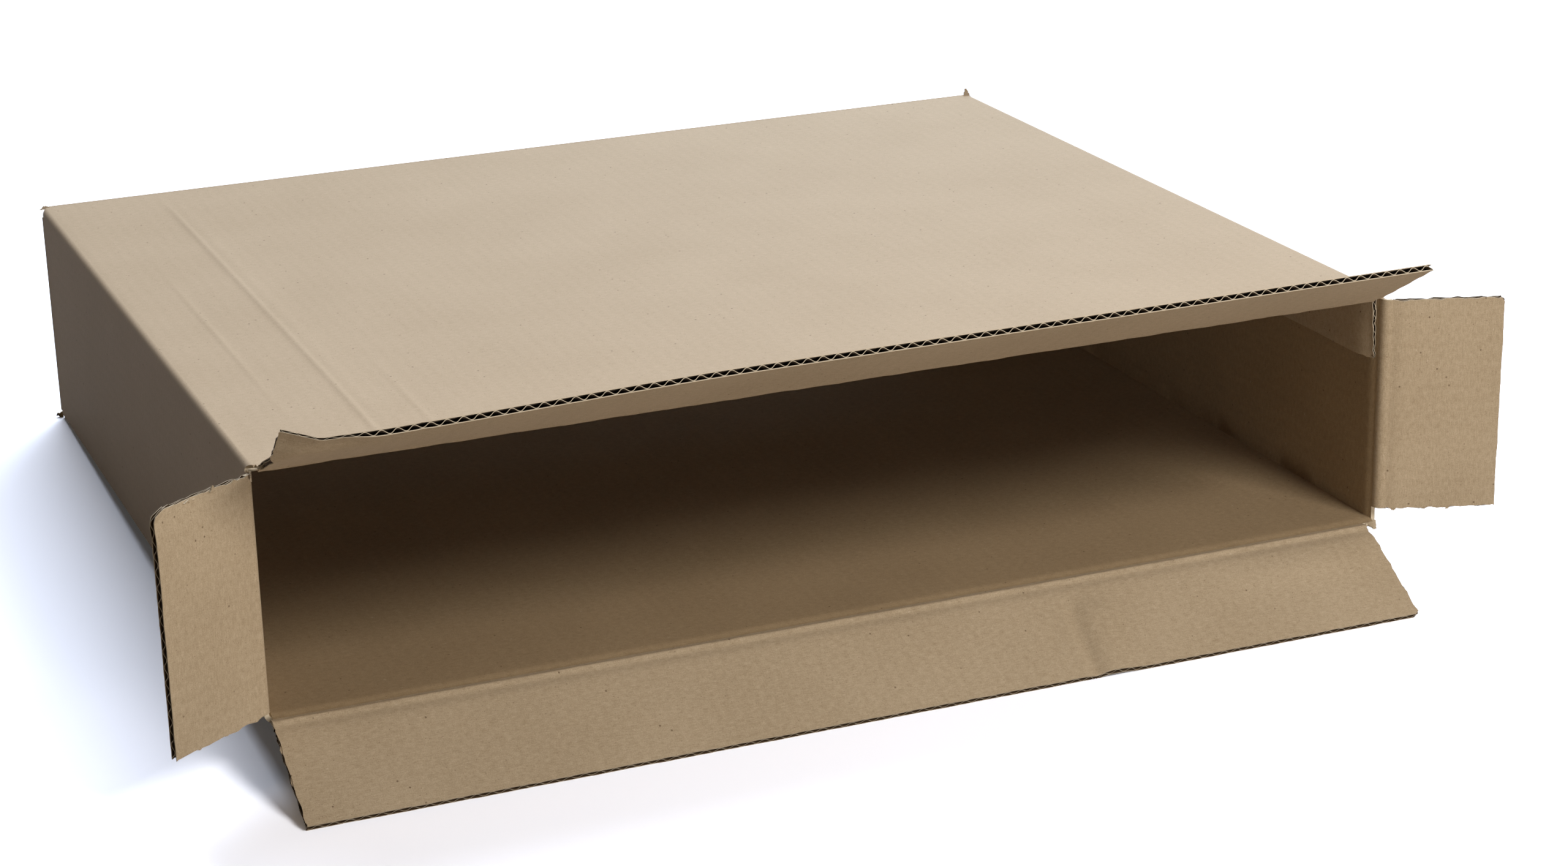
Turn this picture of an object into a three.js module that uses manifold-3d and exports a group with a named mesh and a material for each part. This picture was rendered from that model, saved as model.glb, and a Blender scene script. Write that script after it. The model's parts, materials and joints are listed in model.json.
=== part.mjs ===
// A folding shipping box of single-wall corrugated board: one blank with four panels, a glue tab
// and eight end flaps. Its far end is closed, with the short flaps inside the long ones, and its
// four mouth flaps stand open. The bottom mouth flap is folded down and props the mouth up.
// Millimetres, +Z up, +X along the mouth, mouth towards -Y, standing on z = 0.
import * as THREE from 'three';
import { mergeVertices } from 'three/addons/utils/BufferGeometryUtils.js';
import Module from 'manifold-3d';

// Driving dimensions of the box, outside
const boxWidth = 516;
const boxDepth = 426;
const boxHeight = 110;

// Board: caliper, facings, fluted medium and the wave that it follows
const board = 2.8;
const liner = 0.36;
const medium = 0.32;
const flutePitch = 6.5;
const fluteCrest = 1.3;
const crushedLength = 5;
const sealedSide = 2.5;

// Cutting and creasing of the blank
const flapGap = 6;
const foldRadius = 2.8;
const layerClearance = 0.3;
const hingeLift = 0.1;
const creaseGap = 0.6;
const glueTabWidth = 29;
const glueTabSetback = 0.6;

// How far each mouth flap's side edges stand back from the outside corners of the box
const topFlapInset = { low: 4, high: 9 };
const bottomFlapInset = { low: 1.8, high: 8.4 };
const leftFlapInset = { low: 5, high: 3.4 };
const rightFlapInset = { low: 8.2, high: 3.4 };
const rearFlapInset = 4.2;

// How far each mouth flap is opened past the plane of its own panel, in degrees
const topFlapOpen = 30.7;
const bottomFlapOpen = 30;
const leftFlapOpen = 57.9;
const rightFlapOpen = 70;

// Worked out from the dimensions above
const flapLength = (boxHeight - flapGap) / 2;
const sideCreaseDepth = board + layerClearance;
const innerHalfWidth = boxWidth / 2 - board;
const overshoot = 1;

const kraftOutside = 0xc6b49a;
const kraftInside = 0xa98f6f;

const wasm = await Module();
wasm.setup();

// A closed three.js geometry as a solid for joining and cutting
function solidOf(geometry) {
  const bare = geometry.clone();
  bare.deleteAttribute('normal');
  bare.deleteAttribute('uv');
  const merged = mergeVertices(bare, 1e-5);
  return new wasm.Manifold(new wasm.Mesh({
    numProp: 3,
    vertProperties: new Float32Array(merged.attributes.position.array),
    triVerts: new Uint32Array(merged.index.array),
  }));
}

// A solid back as a three.js geometry with flat faces
function geometryOf(solid) {
  const mesh = solid.getMesh();
  const indexed = new THREE.BufferGeometry();
  indexed.setAttribute('position', new THREE.BufferAttribute(mesh.vertProperties, mesh.numProp));
  indexed.setIndex(new THREE.BufferAttribute(mesh.triVerts, 1));
  const geometry = indexed.toNonIndexed();
  geometry.computeVertexNormals();
  return geometry;
}

// A block between two corners
function block(low, high) {
  const size = new THREE.Vector3().subVectors(high, low);
  const middle = new THREE.Vector3().addVectors(low, high).multiplyScalar(0.5);
  const geometry = new THREE.BoxGeometry(size.x, size.y, size.z);
  geometry.translate(middle.x, middle.y, middle.z);
  return solidOf(geometry);
}

// An outline in (y, z), run along x from one place to another
function prismAlongX(outline, from, to) {
  const geometry = new THREE.ExtrudeGeometry(outline, {
    depth: to - from,
    bevelEnabled: false,
    curveSegments: 4,
  });
  // The outline's x becomes y, its y becomes z, and the extrusion runs along x
  const turn = new THREE.Matrix4().makeBasis(
    new THREE.Vector3(0, 1, 0),
    new THREE.Vector3(0, 0, 1),
    new THREE.Vector3(1, 0, 0),
  );
  geometry.applyMatrix4(turn);
  geometry.translate(from, 0, 0);
  return solidOf(geometry);
}

function polygon(points) {
  return new THREE.Shape(points.map(([a, b]) => new THREE.Vector2(a, b)));
}

// A rectangle with chosen corners rounded, from (left, low) to (right, high)
function roundedRectangle(left, low, right, high, leftRadius, rightRadius) {
  const shape = new THREE.Shape();
  shape.moveTo(left + leftRadius, low);
  shape.lineTo(right - rightRadius, low);
  shape.absarc(right - rightRadius, low + rightRadius, rightRadius, -Math.PI / 2, 0);
  shape.lineTo(right, high - rightRadius);
  shape.absarc(right - rightRadius, high - rightRadius, rightRadius, 0, Math.PI / 2);
  shape.lineTo(left + leftRadius, high);
  if (leftRadius > 0) {
    shape.absarc(left + leftRadius, high - leftRadius, leftRadius, Math.PI / 2, Math.PI);
    shape.lineTo(left, low + leftRadius);
    shape.absarc(left + leftRadius, low + leftRadius, leftRadius, Math.PI, Math.PI * 1.5);
  } else {
    shape.lineTo(left, low);
  }
  return shape;
}

// The four panels as a square tube from the mouth at y = 0 to the closed end, folds rounded outside
function panelTube() {
  const half = boxWidth / 2;
  const section = roundedRectangle(-half, 0, half, boxHeight, foldRadius, foldRadius);
  section.holes.push(polygon([
    [-innerHalfWidth, board],
    [-innerHalfWidth, boxHeight - board],
    [innerHalfWidth, boxHeight - board],
    [innerHalfWidth, board],
  ]));
  const geometry = new THREE.ExtrudeGeometry(section, {
    depth: boxDepth,
    bevelEnabled: false,
    curveSegments: 4,
  });
  // The section's y becomes z, and the extrusion runs from the far end towards the mouth
  geometry.rotateX(Math.PI / 2);
  geometry.translate(0, boxDepth, 0);
  return solidOf(geometry);
}

// What the creases at the mouth take off: each panel ends in a slope, so that its flap can close
function mouthBevels() {
  const half = boxWidth / 2 + overshoot;
  const top = prismAlongX(polygon([
    [-overshoot, boxHeight + overshoot],
    [-overshoot, boxHeight - board],
    [board, boxHeight - board],
  ]), -half, half);
  const bottom = prismAlongX(polygon([
    [-overshoot, -overshoot],
    [board, board],
    [-overshoot, board],
  ]), -half, half);
  const side = new THREE.ExtrudeGeometry(polygon([
    [-overshoot, -overshoot],
    [board, -overshoot],
    [board, sideCreaseDepth + board],
    [0, sideCreaseDepth],
    [-overshoot, sideCreaseDepth - overshoot],
  ]), { depth: boxHeight + 2 * overshoot, bevelEnabled: false });
  side.translate(-boxWidth / 2, 0, -overshoot);
  const left = solidOf(side);
  const right = left.mirror([1, 0, 0]);
  return top.add(bottom).add(left).add(right);
}

// The closed end: short flaps folded in first, long flaps glued over them
function closedEnd() {
  const longHalf = boxWidth / 2 - rearFlapInset;
  const farFace = boxDepth;
  const gluedFace = boxDepth - board;
  const shortFace = boxDepth - 2 * board;
  const lowLong = block(
    new THREE.Vector3(-longHalf, gluedFace, 0),
    new THREE.Vector3(longHalf, farFace, flapLength),
  );
  const highLong = block(
    new THREE.Vector3(-longHalf, gluedFace, boxHeight - flapLength),
    new THREE.Vector3(longHalf, farFace, boxHeight),
  );
  const leftShort = block(
    new THREE.Vector3(-innerHalfWidth - board / 2, shortFace, board / 2),
    new THREE.Vector3(-boxWidth / 2 + flapLength, gluedFace, boxHeight - board / 2),
  );
  const rightShort = leftShort.mirror([1, 0, 0]);
  return lowLong.add(highLong).add(leftShort).add(rightShort);
}

// The open slots in the blank between the far end's long and short flaps
function rearSlots() {
  const left = block(
    new THREE.Vector3(-boxWidth / 2 - overshoot, boxDepth - board, -overshoot),
    new THREE.Vector3(-boxWidth / 2 + rearFlapInset, boxDepth + overshoot, boxHeight + overshoot),
  );
  return left.add(left.mirror([1, 0, 0]));
}

// The glue tab: it folds down from the top panel and is glued inside the right wall
function glueTab() {
  const start = sideCreaseDepth + hingeLift + board + glueTabSetback;
  const outline = polygon([
    [start, boxHeight - board / 2],
    [start, boxHeight - board - glueTabWidth],
    [boxDepth - board * 1.5, boxHeight - board - glueTabWidth],
    [boxDepth - board * 1.5, boxHeight - board / 2],
  ]);
  return prismAlongX(outline, innerHalfWidth - board, innerHalfWidth + board / 2);
}

// The whole folded blank without its mouth flaps
function foldedBlank() {
  const half = boxWidth / 2 + overshoot;
  const envelope = prismAlongX(
    roundedRectangle(-overshoot, 0, boxDepth, boxHeight, 0, foldRadius), -half, half);
  return panelTube()
    .subtract(mouthBevels())
    .subtract(rearSlots())
    .add(closedEnd())
    .intersect(envelope)
    .add(glueTab());
}

// One hollow of the fluted board, as an outline across the flutes: wide at one facing and narrow
// at the other, because the medium slopes over it
function fluteOutline(middle, upward) {
  const wide = flutePitch / 2 - fluteCrest / 2 - medium;
  const narrow = fluteCrest / 2;
  const wideLevel = upward ? -board + liner : -liner;
  const narrowLevel = upward ? -liner - medium : -board + liner + medium;
  const points = [
    [middle - wide, wideLevel],
    [middle + wide, wideLevel],
    [middle + narrow, narrowLevel],
    [middle - narrow, narrowLevel],
  ];
  return polygon(upward ? points : points.reverse());
}

// All the flutes of a flap that are open at its free edge, along a crease from one side to the other
function openFlutes(from, to) {
  const count = Math.floor((to - from - 2 * sealedSide) / (flutePitch / 2) - 1);
  const first = (from + to) / 2 - (count - 1) * flutePitch / 4;
  const outlines = [];
  for (let i = 0; i < count; i += 1) {
    outlines.push(fluteOutline(first + i * flutePitch / 2, i % 2 === 0));
  }
  const geometry = new THREE.ExtrudeGeometry(outlines, {
    depth: flapLength + overshoot - board - crushedLength,
    bevelEnabled: false,
  });
  // The outline's y is the board's thickness, and the flutes run from the free edge to the crease
  geometry.rotateX(Math.PI / 2);
  geometry.translate(0, -board - crushedLength, 0);
  return solidOf(geometry);
}

// A mouth flap lying in the plane of its panel: crease along x at y = 0, free edge at -y,
// outside face up at z = 0. Its crease end slopes as its panel's does.
function flatFlap(from, to) {
  const sheet = prismAlongX(polygon([
    [-flapLength, 0],
    [-flapLength, -board],
    [-board - creaseGap, -board],
    [-creaseGap, 0],
  ]), from, to);
  return sheet.subtract(openFlutes(from, to));
}

// Hangs a flap on its panel. The side is turned about the tube's own axis from the top panel.
function hangFlap(name, sideTurn, panelLevel, creaseDepth, from, to, openAngle, colour) {
  const geometry = geometryOf(flatFlap(from, to));
  geometry.translate(0, 0, -hingeLift);
  const flap = new THREE.Mesh(geometry, new THREE.MeshStandardMaterial({
    color: colour,
    roughness: 0.9,
    metalness: 0,
  }));
  flap.name = name;

  const hinge = new THREE.Group();
  hinge.name = `${name}_hinge`;
  hinge.position.z = panelLevel + hingeLift;
  hinge.rotation.x = -THREE.MathUtils.degToRad(openAngle);
  hinge.add(flap);

  const side = new THREE.Group();
  side.position.set(0, creaseDepth, boxHeight / 2);
  side.rotation.y = THREE.MathUtils.degToRad(sideTurn);
  side.add(hinge);
  return side;
}

const body = new THREE.Mesh(geometryOf(foldedBlank()), new THREE.MeshStandardMaterial({
  color: kraftOutside,
  roughness: 0.9,
  metalness: 0,
}));
body.name = 'box_body';

const halfWidth = boxWidth / 2;
const halfHeight = boxHeight / 2;
const topFlap = hangFlap('top_flap', 0, halfHeight, 0,
  -halfWidth + topFlapInset.low, halfWidth - topFlapInset.high, topFlapOpen, kraftOutside);
const bottomFlap = hangFlap('bottom_flap', 180, halfHeight, 0,
  -halfWidth + bottomFlapInset.high, halfWidth - bottomFlapInset.low, bottomFlapOpen, kraftInside);
const leftFlap = hangFlap('left_flap', -90, halfWidth, sideCreaseDepth,
  -halfHeight + leftFlapInset.low, halfHeight - leftFlapInset.high, leftFlapOpen, kraftInside);
const rightFlap = hangFlap('right_flap', 90, halfWidth, sideCreaseDepth,
  -halfHeight + rightFlapInset.high, halfHeight - rightFlapInset.low, rightFlapOpen, kraftInside);

// The box stands on its far bottom fold and on the free edge of the bottom flap
const openRadians = THREE.MathUtils.degToRad(bottomFlapOpen);
const footY = -flapLength * Math.cos(openRadians) + hingeLift * Math.sin(openRadians);
const footZ = -flapLength * Math.sin(openRadians) - hingeLift + hingeLift * Math.cos(openRadians);
const reachY = boxDepth - foldRadius - footY;
const reachZ = foldRadius - footZ;
const tilt = Math.atan2(reachZ, reachY) - Math.asin(foldRadius / Math.hypot(reachY, reachZ));

const tilted = new THREE.Group();
tilted.rotation.x = -tilt;
tilted.add(body, topFlap, bottomFlap, leftFlap, rightFlap);

// The origin is on the floor, under the middle of the box with its flaps as they stand
const model = new THREE.Group();
model.add(tilted);
model.updateMatrixWorld(true);
const extent = new THREE.Box3().setFromObject(model, true);
const centre = extent.getCenter(new THREE.Vector3());
tilted.position.set(-centre.x, -centre.y, -extent.min.z);

export default model;
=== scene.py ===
import json
import math

import bmesh
import bpy
import numpy as np
from mathutils import Matrix, Vector


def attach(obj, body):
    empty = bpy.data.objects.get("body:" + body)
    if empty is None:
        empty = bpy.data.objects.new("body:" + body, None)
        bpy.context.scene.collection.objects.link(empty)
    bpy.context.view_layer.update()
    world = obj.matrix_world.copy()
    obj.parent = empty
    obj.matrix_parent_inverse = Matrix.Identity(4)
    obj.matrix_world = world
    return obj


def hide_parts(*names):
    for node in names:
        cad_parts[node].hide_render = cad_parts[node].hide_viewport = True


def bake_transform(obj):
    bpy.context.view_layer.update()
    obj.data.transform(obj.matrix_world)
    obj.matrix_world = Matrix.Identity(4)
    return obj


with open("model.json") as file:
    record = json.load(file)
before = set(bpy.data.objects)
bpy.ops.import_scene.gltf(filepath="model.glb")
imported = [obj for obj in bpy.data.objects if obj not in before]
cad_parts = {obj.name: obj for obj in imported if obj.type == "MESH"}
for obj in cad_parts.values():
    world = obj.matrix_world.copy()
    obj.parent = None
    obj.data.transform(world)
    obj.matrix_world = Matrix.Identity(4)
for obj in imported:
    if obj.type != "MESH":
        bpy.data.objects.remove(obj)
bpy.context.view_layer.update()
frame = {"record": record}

# Sizes in millimetres, in the box's own frame. There x runs along the mouth from its
# middle, y from the mouth to the closed end, and z up from the bottom panel.
WIDTH = 516.0
DEEP = 426.0
HEIGHT = 110.0
HALF = WIDTH / 2
FLAP_LENGTH = 52.0
TAB_WIDTH = 29.0
TAB_FRONT = 6.5
TAB_REAR = 420.0

# The board is a fluted medium between two liners.
BOARD = 2.8
LINER = 0.36
MEDIUM = 0.3
PITCH = 6.5

# A panel turns into the next one over a fold, and into its flap over a score.
FOLD_RADIUS = 2.8
CORNER = HALF - FOLD_RADIUS
ROOF = HEIGHT - FOLD_RADIUS
HINGE_LIFT = 0.1  # a flap turns about a line this far outside its panel
SIDE_X = HALF + HINGE_LIFT
SIDE_SETBACK = 3.1  # the short flaps' scores lie this far inside the long flaps' scores
FRONT_REACH = 2.2  # the board bends from this far before a score to this far past it
REAR_REACH = 2.2
CRUSHED_PART = 0.71  # the share of its thickness that the board keeps at a score
CRUSHED_TO = 2.0  # the board is wholly crushed up to this far from a score
WHOLE_FROM = 7.0  # this far from a score the board has its full thickness again
SCORE_BEAD = 0.4
CLOSED = -90

# The side edges and the free edges, as the slotting knife and handling left them
KNIFE_PITCH = 2.6
KNIFE_TOOTH = 0.3
EDGE_ZONE = 4.0  # the points this near an edge move with it
FREE_EDGE_WAVE = 40.0
SIDE_EDGE_WAVE = 14.0
CORNER_RADIUS = 1.4
FRONT_RAGGED = 0.5
BODY_RAGGED = 0.3

# Where the flaps' side edges lie along their scores
TOP_SPAN = (4.0 - HALF, HALF - 9.0)
BOTTOM_SPAN = (1.8 - HALF, HALF - 8.4)
LEFT_SPAN = (5.0, HEIGHT - 3.4)
RIGHT_SPAN = (8.2, HEIGHT - 3.4)
REAR_INSET = 4.2

# Spacing of the points
LINER_STEP = 2.0
MEDIUM_STEP = PITCH / 12
FLAP_STEP = 2.6
WEB_STEP = 3.0
WALL_STEP = 8.0
ROOF_STEP = 4.0
FINE_STEP = 0.9
DEPTH_STEP = 8.5
TAB_STEP = 15.0
REAR_COARSENESS = 1.7

# The faint scores on the top panel, by their place across it
LONG_SCORE = -199.6  # runs on over the mouth flap
SHORT_SCORE = -228.3
FRONT_SCORE = -176.0
SCORED_STRETCH = (-236.0, -168.0)

# The places of the papers in the list that every piece has
# The fluted medium's paper is darkened as painted shade in the flute hollows.
# The sleeve's inside paper is a darker copy of the inside paper, as painted shade inside the box.
OUTSIDE, INSIDE, CUT, FLUTING_PAINTED_SHADE, HOLLOW_PAINTED_SHADE = range(5)

TO_RIGHT = (1, 0, 0)
TO_LEFT = (-1, 0, 0)
TO_FRONT = (0, -1, 0)
TO_REAR = (0, 1, 0)
UPWARD = (0, 0, 1)
DOWNWARD = (0, 0, -1)

# The box's own frame in the shared one
MM = 0.001
HINGES = {joint["name"]: joint for joint in frame["record"]["behaviour"]["joints"]}
RIGHT = Vector((1, 0, 0))
UP = Vector(HINGES["right_flap_hinge"]["axis"]).normalized()
DEPTH = UP.cross(RIGHT)
ORIGIN = Vector(HINGES["bottom_flap_hinge"]["pos_m"]) + UP * HINGE_LIFT * MM
AXES = np.array([RIGHT, DEPTH, UP])


def to_row(points):
    """Box millimetres to metres in the shared frame."""
    return np.asarray(points) @ AXES * MM + np.array(ORIGIN)


def rise(x, start, length):
    """Climbs smoothly from 0 at start to 1 at length past it."""
    share = np.clip((x - start) / length, 0, 1)
    return share * share * (3 - 2 * share)


def fall(x, start, length):
    """Drops smoothly from 1 at start to 0 at length past it."""
    return 1 - rise(x, start, length)


def bell(x, middle, width):
    return np.exp(-(((x - middle) / width) ** 2))


def ripple(x, seed, longest, size, waves=9):
    """A repeatable ragged line: sines of falling length with random phases."""
    rng = np.random.default_rng(seed)
    total = np.zeros(np.shape(x))
    for k in range(waves):
        length = longest / 1.6**k
        phase = rng.uniform(0, 2 * math.pi)
        total = total + np.sin(2 * math.pi * x / length + phase) * rng.uniform(0.4, 1) / 1.22**k
    return total * size / 2


def spaced(low, high, step):
    """Even places from low to high, about step apart."""
    return np.linspace(low, high, max(2, int(round((high - low) / step)) + 1))


def round_off(distance, radius):
    """How far a rounded corner lies back, at a distance from the side edge."""
    inset = np.clip(radius - distance, 0, radius)
    return radius - np.sqrt(radius**2 - inset**2)


class Piece:
    """Closed sheets of paper, gathered in box millimetres and made into one mesh."""

    def __init__(self, name):
        self.name = name
        self.points = []
        self.quads = []
        self.blank = []
        self.slots = []
        self.count = 0

    def sheet(self, front, back, blank, slots):
        """Adds a sheet from its two faces, both grids of points, and the same grid on the flat blank."""
        rows, cols = front.shape[:2]
        size = rows * cols
        index = np.arange(size).reshape(rows, cols)
        face = np.stack([index[:-1, :-1], index[1:, :-1], index[1:, 1:], index[:-1, 1:]], -1).reshape(-1, 4)
        rim = np.concatenate([index[0, :-1], index[:-1, -1], index[-1, :0:-1], index[:0:-1, 0]])
        after = np.roll(rim, -1)
        edge = np.stack([rim, after, after + size, rim + size], -1)
        flat = np.concatenate([blank.reshape(-1, 2), blank.reshape(-1, 2)])
        edge_flat = flat[edge]
        edge_flat[:, 2:, 0] += BOARD
        for quads, uv, slot in (
            (face, flat[face], slots[0]),
            (face[:, ::-1] + size, flat[face[:, ::-1]], slots[1]),
            (edge, edge_flat, slots[2]),
        ):
            self.quads.append(quads + self.count)
            self.blank.append(uv)
            self.slots.append(np.full(len(quads), slot))
        self.points += [front.reshape(-1, 3), back.reshape(-1, 3)]
        self.count += 2 * size

    def make(self):
        """Makes the mesh, with its papers and with its place on the blank as the UV map."""
        points = to_row(np.concatenate(self.points))
        quads = np.concatenate(self.quads)
        mesh = bpy.data.meshes.new(self.name)
        mesh.vertices.add(len(points))
        mesh.vertices.foreach_set("co", points.ravel())
        mesh.loops.add(quads.size)
        mesh.loops.foreach_set("vertex_index", quads.ravel())
        mesh.polygons.add(len(quads))
        mesh.polygons.foreach_set("loop_start", np.arange(0, quads.size, 4))
        mesh.polygons.foreach_set("material_index", np.concatenate(self.slots))
        mesh.polygons.foreach_set("use_smooth", np.ones(len(quads), bool))
        mesh.update(calc_edges=True)
        layer = mesh.uv_layers.new(name="blank")
        layer.data.foreach_set("uv", np.concatenate(self.blank).ravel())
        work = bmesh.new()
        work.from_mesh(mesh)
        bmesh.ops.recalc_face_normals(work, faces=work.faces)
        work.to_mesh(mesh)
        work.free()
        for material in PAPERS:
            mesh.materials.append(material)
        mesh.set_sharp_from_angle(angle=math.radians(38))
        obj = bpy.data.objects.new(self.name, mesh)
        bpy.context.scene.collection.objects.link(obj)
        return obj


class Crease:
    """A score between a panel and its flap. The angle is from flat, and positive outward."""

    def __init__(self, base, along, outward, inward, angle, reach):
        self.base = np.array(base, float)
        self.along = np.array(along, float)
        self.outward = np.array(outward, float)
        self.inward = np.array(inward, float)
        self.angle = math.radians(angle)
        self.reach = reach

    def turned(self, u, v, w, angle):
        """The point u along the score, v out from it and w in from the outside face, turned by angle."""
        c = math.cos(angle)
        s = math.sin(angle)
        out = c * self.outward - s * self.inward
        normal = c * self.inward + s * self.outward
        parts = ((u, self.along), (v, out), (w + HINGE_LIFT, normal))
        return self.base + sum(np.asarray(amount)[..., None] * way for amount, way in parts)

    def panel(self, u, v, w):
        return self.turned(u, v, w, 0.0)

    def flap(self, u, v, w):
        return self.turned(u, v, w, self.angle)

    def web(self, u, v, w):
        """Turns smoothly from the panel's plane to the flap's over the score."""
        share = rise(v, -self.reach, 2 * self.reach)[..., None]
        return (1 - share) * self.panel(u, v, w) + share * self.flap(u, v, w)


# The board


def crush(distance):
    """The share of its thickness that the board keeps at a distance from a score."""
    return CRUSHED_PART + (1 - CRUSHED_PART) * rise(distance, CRUSHED_TO, WHOLE_FROM - CRUSHED_TO)


def scallops(x):
    """The small teeth that the slotting knife leaves."""
    return KNIFE_TOOTH * np.abs(np.sin(math.pi * x / KNIFE_PITCH))


def wave(u):
    """Height of the fluted medium's middle above the outside face."""
    swing = BOARD / 2 - LINER - MEDIUM / 2
    return BOARD / 2 + swing * np.sin(2 * math.pi * u / PITCH)


def outer_liner(u):
    return np.zeros_like(u), np.full_like(u, LINER)


def inner_liner(u):
    return np.full_like(u, BOARD), np.full_like(u, BOARD - LINER)


def medium(u):
    return wave(u) - MEDIUM / 2, wave(u) + MEDIUM / 2


# The heights of each layer's two faces, the spacing of its points and its papers. The faces inside the
# flutes take the fluted medium's paper, darkened as painted shade in the flute hollows.
LAYERS = (
    (outer_liner, LINER_STEP, (OUTSIDE, FLUTING_PAINTED_SHADE, CUT)),
    (inner_liner, LINER_STEP, (INSIDE, FLUTING_PAINTED_SHADE, CUT)),
    (medium, MEDIUM_STEP, (FLUTING_PAINTED_SHADE, FLUTING_PAINTED_SHADE, CUT)),
)


def ragged_edges(u, v, span, free_edge, seed, size):
    """Moves the points near a board's side edges and free edge."""
    low, high = span
    end = ripple(u, seed, FREE_EDGE_WAVE, size * 0.3) - round_off(high - u, CORNER_RADIUS)
    low_edge = ripple(v, seed + 10, SIDE_EDGE_WAVE, size) + scallops(v)
    high_edge = ripple(v, seed + 20, SIDE_EDGE_WAVE, size) - scallops(v)
    moved_u = u + fall(u, low, EDGE_ZONE) * low_edge + rise(u, high - EDGE_ZONE, EDGE_ZONE) * high_edge
    moved_v = v + rise(v, free_edge - EDGE_ZONE, EDGE_ZONE) * end
    return moved_u, moved_v


def unbent(u, v, w):
    return u, v, w


def add_board(piece, place, blank, span, rows, seed, ragged, bend=unbent, scored=True, coarseness=1.0):
    """Two liners with the fluted medium between them, from rows[0] to rows[-1] along the flutes."""
    for k, (heights, step, slots) in enumerate(LAYERS):
        u, v = np.meshgrid(spaced(*span, step * coarseness), rows, indexing="ij")
        near, far = heights(u)
        u, v = ragged_edges(u, v, span, rows[-1], seed + k, ragged)
        kept = crush(v) if scored else 1.0
        piece.sheet(place(*bend(u, v, near * kept)), place(*bend(u, v, far * kept)), blank(u, v), slots)


def add_web(piece, crease, span, blank, inside, bead_height=0.0):
    """The crushed board where it bends over its score, with the bead that the score raised inside."""
    u, v = np.meshgrid(
        spaced(*span, WEB_STEP),
        np.linspace(-crease.reach, crease.reach, 11),
        indexing="ij",
    )
    bead = bead_height * bell(v, 0, 0.7) * (1 + ripple(u, 61, 60.0, 0.4))
    front = crease.web(u, v, np.zeros_like(u))
    back = crease.web(u, v, BOARD * crush(np.abs(v)) + bead)
    piece.sheet(front, back, blank(u, v), (OUTSIDE, inside, CUT))


def add_crumb(piece, root, across, outward, thick, width, height, seed):
    """A torn crumb of paper that stands out from root, width across and height outward."""
    u, v = np.meshgrid(np.linspace(-0.5, 0.5, 9), np.linspace(0, 1, 7), indexing="ij")
    wide = u * width * (1 - 0.8 * v) + ripple(v, seed, 0.7, 0.5)
    high = v * height + ripple(u, seed + 1, 0.6, 0.25)
    half_thickness = 0.5 - 0.25 * v
    faces = []
    for side in (-1, 1):
        parts = ((wide, across), (high, outward), (side * half_thickness, thick))
        faces.append(np.array(root) + sum(amount[..., None] * np.array(way) for amount, way in parts))
    piece.sheet(*faces, np.stack([wide, high], -1) + seed, (OUTSIDE, INSIDE, CUT))


def fold_over(u, v, w, start, end, radius, angle):
    """Rolls the board beyond the line from start to end. A positive angle goes to the inside face."""
    line = np.array(end) - np.array(start)
    line = line / np.hypot(*line)
    across = np.array((-line[1], line[0]))
    reach = (u - start[0]) * across[0] + (v - start[1]) * across[1]
    way = math.copysign(1, angle)
    turn = np.clip(reach / radius, 0, abs(math.radians(angle)))
    flat = np.maximum(reach - radius * turn, 0)
    out = radius * np.sin(turn) + flat * np.cos(turn) - way * w * np.sin(turn)
    up = way * (radius * (1 - np.cos(turn)) + flat * np.sin(turn)) + w * np.cos(turn)
    shift = np.where(reach > 0, out - reach, 0)
    return u + across[0] * shift, v + across[1] * shift, np.where(reach > 0, up, w)


# The papers


def srgb(red, green, blue):
    """A colour as a picture shows it, 0 to 255, as the shader wants it."""

    def linear(value):
        value = value / 255
        return value / 12.92 if value <= 0.04045 else ((value + 0.055) / 1.055) ** 2.4

    return (linear(red), linear(green), linear(blue), 1.0)


class Nodes:
    """Short calls for building the nodes of a material or a world."""

    def __init__(self, holder):
        self.holder = holder
        holder.use_nodes = True
        self.tree = holder.node_tree
        self.tree.nodes.clear()

    def add(self, kind, inputs=None, **settings):
        node = self.tree.nodes.new(kind)
        for key, value in settings.items():
            setattr(node, key, value)
        for key, value in (inputs or {}).items():
            socket = node.inputs[key]
            if isinstance(value, bpy.types.NodeSocket):
                self.tree.links.new(value, socket)
            else:
                socket.default_value = value
        return node

    def math(self, operation, first, second=0.0):
        return self.add("ShaderNodeMath", {0: first, 1: second}, operation=operation).outputs[0]

    def noise(self, vector, scale, detail, roughness=0.5):
        settings = {"Vector": vector, "Scale": scale, "Detail": detail, "Roughness": roughness}
        return self.add("ShaderNodeTexNoise", settings).outputs["Fac"]

    def stretch(self, vector, x, y, turn=0.0):
        settings = {"Vector": vector, "Scale": (x, y, 1.0), "Rotation": (0.0, 0.0, turn)}
        return self.add("ShaderNodeMapping", settings).outputs["Vector"]

    def ramp(self, value, low, high, to_low=0.0, to_high=1.0):
        settings = {"Value": value, "From Min": low, "From Max": high, "To Min": to_low, "To Max": to_high}
        return self.add("ShaderNodeMapRange", settings).outputs["Result"]

    def mix(self, share, first, second):
        return self.add("ShaderNodeMix", {0: share, 6: first, 7: second}, data_type="RGBA").outputs[2]

    def specks(self, vector, scale, size, keep):
        """Dots of about size cells, in the share of the cells that keep leaves."""
        node = self.add("ShaderNodeTexVoronoi", {"Vector": vector, "Scale": scale})
        dot = self.ramp(node.outputs["Distance"], size, size * 0.5)
        pick = self.add("ShaderNodeSeparateColor", {"Color": node.outputs["Color"]}).outputs["Red"]
        return self.math("MULTIPLY", dot, self.ramp(pick, keep, keep + 0.02))

    def seen(self):
        """1 for what the camera sees, straight or by reflection or through something clear, else 0."""
        path = self.add("ShaderNodeLightPath")
        seen = self.math("MAXIMUM", path.outputs["Is Camera Ray"], path.outputs["Is Glossy Ray"])
        return self.math("MAXIMUM", seen, path.outputs["Is Transmission Ray"])


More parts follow.
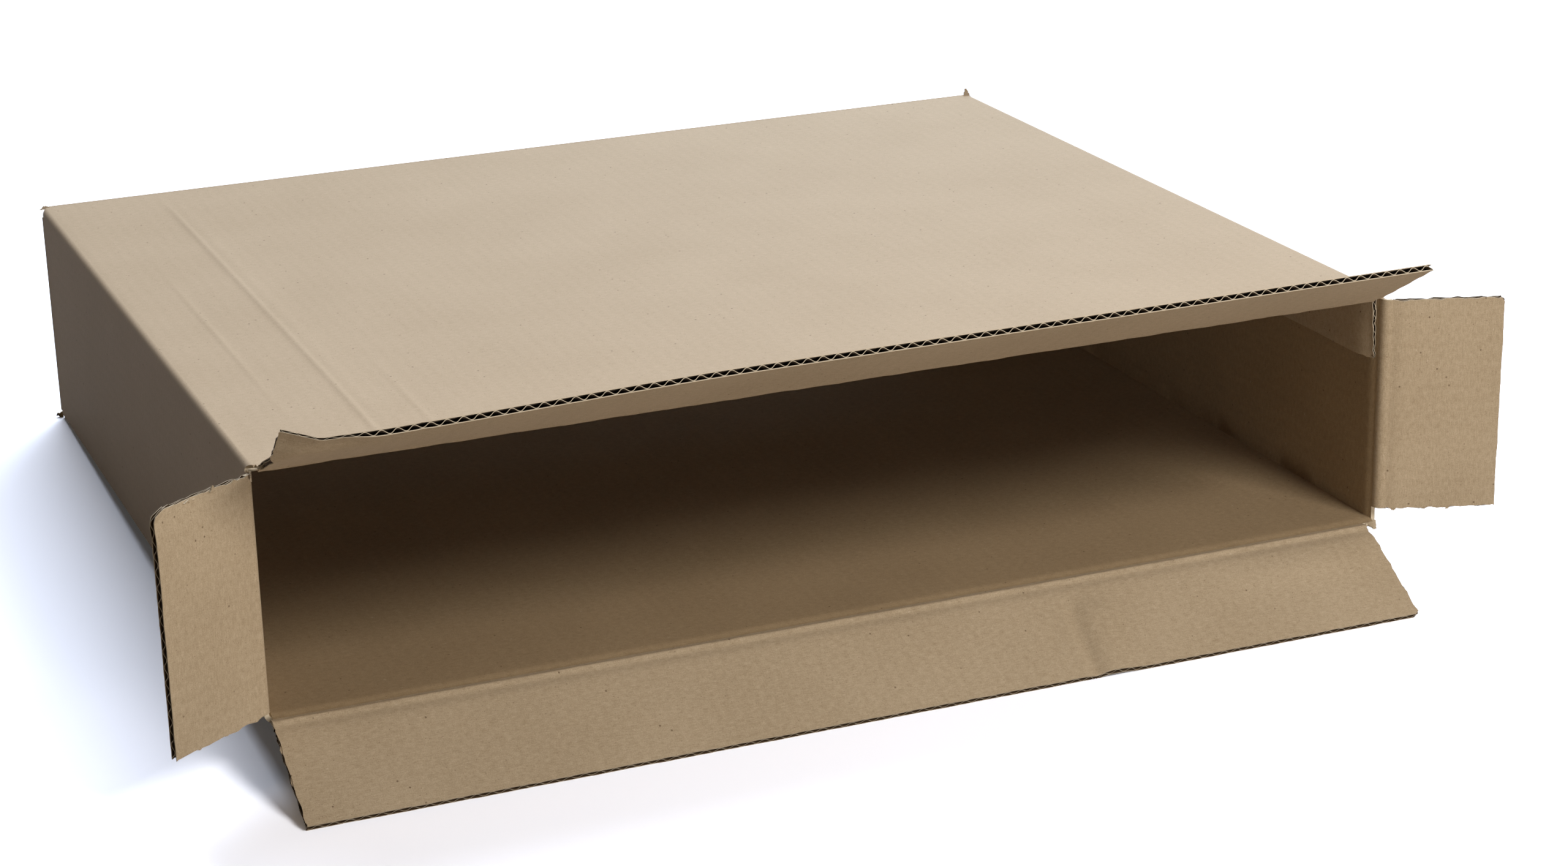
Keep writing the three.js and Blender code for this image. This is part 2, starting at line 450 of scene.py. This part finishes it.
def kraft(name, base, flute_lines, contrast, speck_strength=1.0, relief=1.0):
    """Uncoated brown paper: clumps, grain, fibres, specks and faint lines of the flutes beneath."""
    n = Nodes(bpy.data.materials.new(name))
    flat = n.add("ShaderNodeUVMap", uv_map="blank").outputs["UV"]
    broad = n.noise(flat, 0.018, 3.0)
    clumps = n.noise(flat, 0.42, 5.0, 0.62)
    grain = n.noise(flat, 2.3, 3.0, 0.6)
    long_fibres = n.noise(n.stretch(flat, 1.9, 0.4), 1.0, 3.0, 0.6)
    cross_fibres = n.noise(n.stretch(flat, 0.25, 2.4), 1.0, 3.0, 0.6)
    across = n.add("ShaderNodeSeparateXYZ", {"Vector": flat}).outputs["X"]
    flutes = n.math("SINE", n.math("MULTIPLY", across, 2 * math.pi / PITCH))

    tone = n.ramp(broad, 0.3, 0.7, -0.1, 0.1)
    for part, weight in ((clumps, 0.8), (grain, 1.6), (long_fibres, 0.5), (cross_fibres, 1.1)):
        tone = n.math("ADD", tone, n.math("MULTIPLY", n.math("SUBTRACT", part, 0.5), weight))
    tone = n.math("ADD", tone, n.math("MULTIPLY", flutes, 0.03 * flute_lines))
    dark = srgb(*(value * (1 - fade * contrast) for value, fade in zip(base, (0.14, 0.16, 0.2))))
    pale = srgb(*(value * (1 + gain * contrast) for value, gain in zip(base, (0.11, 0.13, 0.17))))
    colour = n.mix(n.ramp(tone, -0.95, 0.95), dark, pale)
    for specks, strength, tint in (
        (n.specks(flat, 0.25, 0.14, 0.88), 0.75, (96, 72, 48)),
        (n.specks(flat, 0.7, 0.2, 0.88), 0.6, (110, 84, 58)),
        (n.specks(n.stretch(flat, 0.55, 0.2, 0.8), 1.0, 0.11, 0.93), 0.45, (120, 88, 56)),
        (n.specks(n.stretch(flat, 0.16, 0.5, 0.5), 1.0, 0.12, 0.93), 0.5, (222, 204, 178)),
    ):
        colour = n.mix(n.math("MULTIPLY", specks, strength * speck_strength), colour, srgb(*tint))

    height = n.math("MULTIPLY", clumps, 0.6)
    layers = ((grain, 0.45), (long_fibres, 0.5), (cross_fibres, 0.4), (flutes, 0.12 * flute_lines))
    for part, weight in layers:
        height = n.math("ADD", height, n.math("MULTIPLY", part, weight))
    bump = n.add("ShaderNodeBump", {"Height": height, "Strength": 1.0, "Distance": 0.00006 * relief})
    shader = n.add(
        "ShaderNodeBsdfPrincipled",
        {
            "Base Color": colour,
            "Roughness": n.ramp(clumps, 0.2, 0.8, 0.66, 0.8),
            "Specular IOR Level": 0.1,
            "Sheen Weight": 0.05,
            "Sheen Roughness": 0.5,
            "Normal": bump.outputs["Normal"],
        },
    )
    n.add("ShaderNodeOutputMaterial", {"Surface": shader.outputs["BSDF"]})
    return n.holder


PAPERS = [
    kraft("kraft outside", (190, 166, 136), flute_lines=1.0, contrast=0.95),
    kraft("kraft inside", (183, 160, 128), flute_lines=0.7, contrast=1.7),
    kraft("cut paper edge", (214, 196, 168), flute_lines=0.0, contrast=0.8, speck_strength=0.3, relief=2.0),
    # The fluted medium's colour is darkened as painted shade, for the shade in the hollows of the flutes.
    kraft("fluted medium", (84, 66, 46), flute_lines=0.0, contrast=1.0, speck_strength=0.6, relief=1.5),
    # A darker copy of the inside paper, painted shade for the sleeve's inside.
    kraft("kraft inside the sleeve in painted shade", (166, 140, 104), flute_lines=0.7, contrast=1.7),
]

# Where each panel's flaps lie on the flat blank. From its cut edge the blank holds the right
# wall, the bottom panel, the left wall, the top panel and the glue tab.

TOP_START = HEIGHT + WIDTH + HEIGHT


def top_blank(u, v):
    return np.stack([TOP_START + HALF + u, -v], -1)


def bottom_blank(u, v):
    return np.stack([HEIGHT + HALF - u, -v], -1)


def left_blank(u, v):
    return np.stack([HEIGHT + WIDTH + u, -v], -1)


def right_blank(u, v):
    return np.stack([HEIGHT - u, -v], -1)


def tab_blank(u, v):
    return np.stack([TOP_START + WIDTH + HEIGHT - u, v], -1)


def at_the_rear(blank):
    """The same flap at the blank's other end."""
    return lambda u, v: blank(u, -v) + np.array((0, DEEP))


def from_middle(blank):
    """The same flap, for u measured from the middle of its wall."""
    return lambda u, v: blank(u + HEIGHT / 2, v)


# The mouth flaps


def rest_angle(flap):
    """How far a flap stands open, from the end of its hinge's range where it is closed."""
    return CLOSED - HINGES[flap + "_hinge"]["range_deg"][0]


def mouth_crease(flap, base, along, inward):
    return Crease(base, along, TO_FRONT, inward, rest_angle(flap), FRONT_REACH)


def bend_top(u, v, w):
    """The left end hangs lower and is crushed thin, a score crosses it, and its corner is kinked up."""
    crushed_end = rise(-u, 216, 16) * rise(v, 40, 8)
    hang = 3.0 * rise(-u, 60, 170) * rise(v, 0, 40)
    score = 0.24 * bell(u, LONG_SCORE, 1.6) * rise(v, 0, 5)
    w = w * (1 - 0.6 * crushed_end) + hang - score
    return fold_over(u, v, w, (2.0 - HALF, 27.0), (19.0 - HALF, FLAP_LENGTH), radius=2.5, angle=-27)


def bend_bottom(u, v, w):
    """A dent with a swell beside it runs in from the free edge, and a soft bulge lies near the right end."""
    dent = 1.3 * bell(u, 94 - 0.08 * v, 3.0) * rise(v, 8, 14)
    swell = 1.4 * bell(u, 104 - 0.1 * v, 9.0) * rise(v, 8, 14)
    bulge = 1.2 * bell(u, 215, 40) * bell(v, 14, 9)
    return u, v, w + (swell - dent + bulge) * rise(v, 0, 6)


def bend_left(u, v, w):
    """The high corner is rounded, and the board is bent back along a line below the high side edge."""
    v = v - round_off(LEFT_SPAN[1] - u, 6.5) * rise(v, 36, 16)
    start = (HEIGHT - 14.5, FLAP_LENGTH + 1)
    end = (HEIGHT - 10.5, 5.0)
    folded = fold_over(u, v, w, start, end, radius=5.0, angle=-9)
    share = rise(v, 3, 14)
    return tuple(flat + (bent - flat) * share for flat, bent in zip((u, v, w), folded))


def bend_right(u, v, w):
    """The middle is slightly hollow."""
    return u, v, w + 0.5 * bell(u, 60, 30) * bell(v, 30, 15)


TOP_CREASE = mouth_crease("top_flap", (0, 0, HEIGHT + HINGE_LIFT), TO_RIGHT, DOWNWARD)
BOTTOM_CREASE = mouth_crease("bottom_flap", (0, 0, -HINGE_LIFT), TO_RIGHT, UPWARD)
LEFT_CREASE = mouth_crease("left_flap", (-SIDE_X, SIDE_SETBACK, 0), UPWARD, TO_RIGHT)
RIGHT_CREASE = mouth_crease("right_flap", (SIDE_X, SIDE_SETBACK, 0), UPWARD, TO_LEFT)

# Each flap with its crease, side edges, place on the blank, bend, first seed and height of the score's bead
MOUTH_FLAPS = (
    ("top_flap", TOP_CREASE, TOP_SPAN, top_blank, bend_top, 11, SCORE_BEAD),
    ("bottom_flap", BOTTOM_CREASE, BOTTOM_SPAN, bottom_blank, bend_bottom, 47, SCORE_BEAD),
    ("left_flap", LEFT_CREASE, LEFT_SPAN, left_blank, bend_left, 83, 0.0),
    ("right_flap", RIGHT_CREASE, RIGHT_SPAN, right_blank, bend_right, 131, 0.0),
)

# Torn crumbs on the flaps' side edges: flap, place along the flutes, at the high side or not, width, height
EDGE_CRUMBS = (
    ("left_flap", 20.5, True, 3.0, 2.6),
    ("left_flap", 9.0, True, 4.5, 1.2),
    ("left_flap", 33.0, True, 6.0, 0.8),
    ("left_flap", 24.0, False, 5.0, 0.9),
    ("left_flap", 39.0, False, 4.0, 1.1),
    ("right_flap", 20.0, False, 5.0, 1.3),
    ("right_flap", 31.0, False, 3.0, 1.6),
    ("right_flap", 44.0, False, 9.0, 0.7),
    ("right_flap", 6.0, False, 4.0, 1.4),
    ("bottom_flap", 10.0, True, 6.0, 1.0),
    ("bottom_flap", 22.0, True, 7.0, 0.9),
    ("bottom_flap", 30.0, False, 8.0, 1.0),
    ("bottom_flap", 14.0, False, 6.0, 1.2),
    ("top_flap", 6.0, False, 5.0, 1.5),
)
CRUMB_ROOT = 0.6  # a crumb starts this far inside the side edge
CRUMB_LEVEL = BOARD * 0.7


def flap_rows():
    """Places along the flutes, close together where the board bends and at the free edge."""
    near = FRONT_REACH + np.array([0.0, 0.42, 0.84, 1.2, 2.0, 3.5, 5.2])
    tip = FLAP_LENGTH - np.array([2.0, 1.0, 0.4, 0.0])
    return np.concatenate([near, spaced(near[-1] + FLAP_STEP, tip[0] - FLAP_STEP, FLAP_STEP), tip])


def add_edge_crumbs(board, name, crease, span):
    for k, (flap, v, high, width, height) in enumerate(EDGE_CRUMBS):
        if flap == name:
            u = span[1] - CRUMB_ROOT if high else span[0] + CRUMB_ROOT
            root = crease.flap(u, v, CRUMB_LEVEL)
            across = crease.flap(u, v + 1, CRUMB_LEVEL) - root
            thick = crease.flap(u, v, CRUMB_LEVEL + 1) - root
            away = crease.along if high else -crease.along
            add_crumb(board, root, across, away + 0.2 * thick, thick, width, height, 400 + 7 * k)


def make_flap_board(name, crease, span, blank, bend, seed):
    """The flap itself, which rides on its own body."""
    board = Piece(name + "_board")
    add_board(board, crease.flap, blank, span, flap_rows(), seed, FRONT_RAGGED, bend)
    add_edge_crumbs(board, name, crease, span)
    flap = board.make()
    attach(flap, name)
    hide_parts(name)


def make_flap_crease(name, crease, span, blank, bead_height):
    """The bent board at the score, which lies between the box and the flap."""
    score = Piece(name + "_crease")
    add_web(score, crease, span, blank, INSIDE, bead_height)
    web = score.make()
    middle = np.array(sum(span) / 2)
    start = to_row(crease.web(middle, -FRONT_REACH, 0.0))
    end = to_row(crease.web(middle, FRONT_REACH, 0.0))
    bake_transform(web)


for name, crease, span, blank, bend, seed, bead_height in MOUTH_FLAPS:
    make_flap_board(name, crease, span, blank, bend, seed)
    make_flap_crease(name, crease, span, blank, bead_height)

# The body of the box: the sleeve of four panels, the glue tab and the flaps of the closed end


def arc(centre, start):
    """A quarter turn over a fold, as points and their outward directions."""
    angles = np.radians(np.linspace(start, start - 90, 9))
    normals = np.stack([np.cos(angles), np.sin(angles)], -1)
    return np.array(centre) + FOLD_RADIUS * normals, normals


def straight(start, end, step, normal):
    """Points between start and end, and their outward directions. The two ends belong to the arcs."""
    way = np.subtract(end, start)
    count = max(2, int(np.hypot(*way) / step))
    points = np.array(start) + way * np.linspace(0, 1, count + 1)[1:-1, None]
    return points, np.tile(np.array(normal, float), (len(points), 1))


def sleeve_section():
    """Points of the outside face, their outward directions and their places along the strip."""
    cut_edge = (HALF, ROOF - 0.5)
    scored_from, scored_to = SCORED_STRETCH
    runs = (
        (np.array([cut_edge]), np.array([(1.0, 0.0)])),
        straight(cut_edge, (HALF, FOLD_RADIUS), WALL_STEP, (1, 0)),
        arc((CORNER, FOLD_RADIUS), 0),
        straight((CORNER, 0), (-CORNER, 0), WALL_STEP, (0, -1)),
        arc((-CORNER, FOLD_RADIUS), -90),
        straight((-HALF, FOLD_RADIUS), (-HALF, ROOF), WALL_STEP, (-1, 0)),
        arc((-CORNER, ROOF), 180),
        straight((-CORNER, HEIGHT), (scored_from, HEIGHT), ROOF_STEP, (0, 1)),
        straight((scored_from, HEIGHT), (scored_to, HEIGHT), FINE_STEP, (0, 1)),
        straight((scored_to, HEIGHT), (CORNER, HEIGHT), ROOF_STEP, (0, 1)),
        arc((CORNER, ROOF), 90),
    )
    points = np.concatenate([run[0] for run in runs])
    normals = np.concatenate([run[1] for run in runs])
    steps = np.hypot(*np.diff(points, axis=0).T)
    return points, normals, np.concatenate([[0], np.cumsum(steps)])


def sag(x, y):
    """How far the top panel hangs down near the mouth, left of the middle."""
    return 2.2 * bell(x, -105, 95) * rise(y, 0, 25) * bell(y, 0, 90)


def ridges(x, y):
    """Faint scores and a swell that run back along the left of the top panel."""
    before_the_rear = fall(y, 360, 60)
    long_score = 0.32 * bell(x, LONG_SCORE, 1.3) * before_the_rear
    short_score = 0.3 * bell(x, SHORT_SCORE, 1.4) * bell(y, 175, 95)
    front_score = 0.22 * bell(x, FRONT_SCORE, 1.5) * bell(y, 50, 55)
    swell = 0.35 * bell(x, -196, 6.0) * rise(y, 20, 60) * before_the_rear
    return long_score + short_score + front_score + swell


def add_sleeve(piece):
    """One strip of board, from the right wall's cut edge round to the fold above the glue tab."""
    points, normals, along = sleeve_section()
    length = DEEP - FRONT_REACH - REAR_REACH
    ends = np.array([0.0, 0.42, 0.84, 1.2, 1.7, 2.4, 3.6, 5.2, 7.0, 9.5])
    rows = np.concatenate([ends, spaced(13.0, length - 13.0, DEPTH_STEP), (length - ends)[::-1]])
    setback = SIDE_SETBACK * np.abs(normals[:, 0])[:, None]
    first = FRONT_REACH + setback
    last = DEEP - REAR_REACH - setback
    y = first + (last - first) * rows / length
    x, z, out, up = (np.broadcast_to(values[:, None], y.shape) for values in (*points.T, *normals.T))
    kept = np.minimum(crush(y - first + FRONT_REACH), crush(last - y + REAR_REACH))
    drop = np.where(up > 0.99, sag(x, y) - ridges(x, y), 0)
    outside = np.stack([x, y, z - drop], -1)
    inside = np.stack([x - out * BOARD * kept, y, z - up * BOARD * kept - drop], -1)
    blank = np.stack(np.broadcast_arrays(along[:, None], y), -1)
    # The sleeve's inside face takes the darker copy of the inside paper, as painted shade.
    piece.sheet(outside, inside, blank, (OUTSIDE, HOLLOW_PAINTED_SHADE, CUT))


def tab_place(u, v, w):
    """The glue tab's faces: u up, v along the depth, w in from its glued face."""
    return np.stack([CORNER - w, v, u], -1)


def bend_tab(u, v, w):
    """The tab's front end is knocked about, and thinner towards its lower edge."""
    front = fall(v, TAB_FRONT, 9)
    height = (ROOF - u) / TAB_WIDTH
    thinned = w * (1 - front * (0.25 + 0.45 * height))
    return u, v + ripple(u, 5, 9.0, 0.7) * front, thinned + 0.4 * front * ripple(u, 6, 7.0, 1.0)


def add_glue_tab(piece):
    front = TAB_FRONT + np.array([0, 0.5, 1.2, 2.2, 3.6, 5.6, 9.0])
    rows = np.concatenate([front, spaced(TAB_FRONT + TAB_STEP, TAB_REAR, TAB_STEP)])
    span = (ROOF - TAB_WIDTH, ROOF)
    add_board(piece, tab_place, tab_blank, span, rows, 171, BODY_RAGGED, bend_tab, scored=False)


def rear_crease(base, along, inward):
    return Crease(base, along, TO_REAR, inward, CLOSED, REAR_REACH)


def add_closed_end(piece):
    """The four glued flaps: the short ones inside, the long ones over them."""
    tip = FLAP_LENGTH - np.array([4.0, 1.4, 0.0])
    rows = np.concatenate([[REAR_REACH, 3.6, 5.2, WHOLE_FROM, 28.0], tip])
    side_y = DEEP - SIDE_SETBACK
    middle = HEIGHT / 2
    for crease, half, blank, seed in (
        (rear_crease((0, DEEP, HEIGHT + HINGE_LIFT), TO_RIGHT, DOWNWARD), HALF, top_blank, 211),
        (rear_crease((0, DEEP, -HINGE_LIFT), TO_RIGHT, UPWARD), HALF, bottom_blank, 223),
        (rear_crease((-SIDE_X, side_y, middle), UPWARD, TO_RIGHT), middle, from_middle(left_blank), 227),
        (rear_crease((SIDE_X, side_y, middle), UPWARD, TO_LEFT), middle, from_middle(right_blank), 229),
    ):
        span = (REAR_INSET - half, half - REAR_INSET)
        blank = at_the_rear(blank)
        add_board(piece, crease.flap, blank, span, rows, seed, BODY_RAGGED, coarseness=REAR_COARSENESS)
        # The webs' inside faces at the closed end take the same painted shade.
        add_web(piece, crease, span, blank, HOLLOW_PAINTED_SHADE)


# Torn crumbs at the corners: root, direction across, direction outward, thin direction, width, height, seed
CORNER_CRUMBS = (
    ((HALF - 3.0, DEEP - 2.0, HEIGHT - 0.8), TO_RIGHT, (0.1, 0.5, 1), TO_REAR, 4.5, 4.2, 301),
    ((3.0 - HALF, DEEP - 2.0, HEIGHT - 0.8), TO_RIGHT, (-0.4, 0.5, 0.6), TO_REAR, 7.0, 2.4, 307),
    ((0.8 - HALF, DEEP - 3.0, 1.0), UPWARD, (-1, 0.2, 0.1), TO_REAR, 4.0, 3.4, 311),
    ((HALF - 3.6, 2.6, 1.6), (1, 0.4, 0), (-0.1, -1, -0.3), UPWARD, 6.5, 4.6, 313),
    ((3.0 - HALF, 2.4, HEIGHT - 1.6), (1, 0.3, 0), (0.1, -1, 0.2), UPWARD, 6.0, 4.0, 317),
    ((1.6 - HALF, 3.0, HEIGHT - 5.0), UPWARD, (-0.2, -1, 0.4), TO_RIGHT, 4.5, 3.2, 331),
)


def make_body():
    piece = Piece("sleeve_board")
    add_sleeve(piece)
    add_glue_tab(piece)
    add_closed_end(piece)
    for crumb in CORNER_CRUMBS:
        add_crumb(piece, *crumb)
    shell = piece.make()
    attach(shell, "body")
    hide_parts("box_body")


make_body()

# Floor, light and camera


def add_floor():
    """A floor that looks white in full light, keeps its shadow, and throws little light back at the box."""
    n = Nodes(bpy.data.materials.new("pale floor"))
    lit = n.add("ShaderNodeBsdfDiffuse", {"Color": (1.92, 1.94, 2.08, 1.0)})
    glow = n.add("ShaderNodeEmission", {"Color": (1.0, 1.0, 1.0, 1.0), "Strength": 0.04})
    shown = n.add("ShaderNodeAddShader", {0: lit.outputs[0], 1: glow.outputs[0]})
    dull = n.add("ShaderNodeBsdfDiffuse", {"Color": srgb(108, 92, 70)})
    both = n.add("ShaderNodeMixShader", {0: n.seen(), 1: dull.outputs[0], 2: shown.outputs[0]})
    n.add("ShaderNodeOutputMaterial", {"Surface": both.outputs[0]})
    bpy.ops.mesh.primitive_plane_add(size=60)
    floor = bpy.context.object
    floor.name = "floor"
    floor.data.materials.append(n.holder)


def add_world():
    """A dim warm room that shows as plain white where the camera looks past the floor."""
    n = Nodes(bpy.data.worlds.new("room"))
    dim = n.add("ShaderNodeBackground", {"Color": (1.0, 0.96, 0.92, 1.0), "Strength": 0.009})
    white = n.add("ShaderNodeBackground", {"Color": (1.0, 1.0, 1.0, 1.0), "Strength": 1.0})
    both = n.add("ShaderNodeMixShader", {0: n.seen(), 1: dim.outputs[0], 2: white.outputs[0]})
    n.add("ShaderNodeOutputWorld", {"Surface": both.outputs[0]})
    bpy.context.scene.world = n.holder


def add_light(kind, name, source, power, size, colour):
    """A soft light turned to the box. A sun's size is its width in degrees, a panel's is in metres."""
    target = Vector((0, 0, 0.06))
    light = bpy.data.lights.new(name, kind)
    light.energy = power
    light.color = colour
    if kind == "SUN":
        light.angle = math.radians(size)
    else:
        light.size = size
    obj = bpy.data.objects.new(name, light)
    obj.location = source
    obj.rotation_euler = (Vector(source) - target).to_track_quat("Z", "Y").to_euler()
    bpy.context.scene.collection.objects.link(obj)


def add_camera():
    """The camera that was fitted to the photo's corners. Its lengths are in pixels of the photo."""
    picture = (2560, 1414)
    focal = 5361.36
    centre = (1200.07, 748.15)
    eye = Vector((-519.479, -1184.454, 537.269))
    right = Vector((0.927281, -0.373491, -0.025572))
    down = Vector((-0.148255, -0.303636, -0.941183))
    ahead = Vector((0.343759, 0.876533, -0.336928))
    axes = Matrix((RIGHT, DEPTH, UP)).transposed()
    camera = bpy.data.cameras.new("camera")
    camera.sensor_fit = "HORIZONTAL"
    camera.sensor_width = 36
    camera.lens = camera.sensor_width * focal / picture[0]
    camera.shift_x = (picture[0] / 2 - centre[0]) / picture[0]
    camera.shift_y = (centre[1] - picture[1] / 2) / picture[0]
    obj = bpy.data.objects.new("camera", camera)
    bpy.context.scene.collection.objects.link(obj)
    turn = Matrix((axes @ right, axes @ -down, axes @ -ahead)).transposed().to_4x4()
    obj.matrix_world = Matrix.Translation(ORIGIN + axes @ eye * MM) @ turn
    bpy.context.scene.camera = obj


add_floor()
add_world()
add_light("SUN", "overhead and behind", (0.5, 1.4, 1.8), 2.6, 48, (0.84, 0.9, 1.0))
add_light("AREA", "behind", (0.8, 1.3, 0.8), 15.0, 1.0, (0.72, 0.87, 1.0))
add_light("AREA", "front right", (0.5, -1.15, 1.1), 12.2, 0.45, (1.0, 0.99, 0.98))
add_light("AREA", "low front", (0.1, -1.3, 0.16), 5.0, 0.35, (1.0, 0.99, 0.98))
add_camera()
bpy.context.scene.view_settings.view_transform = "Standard"
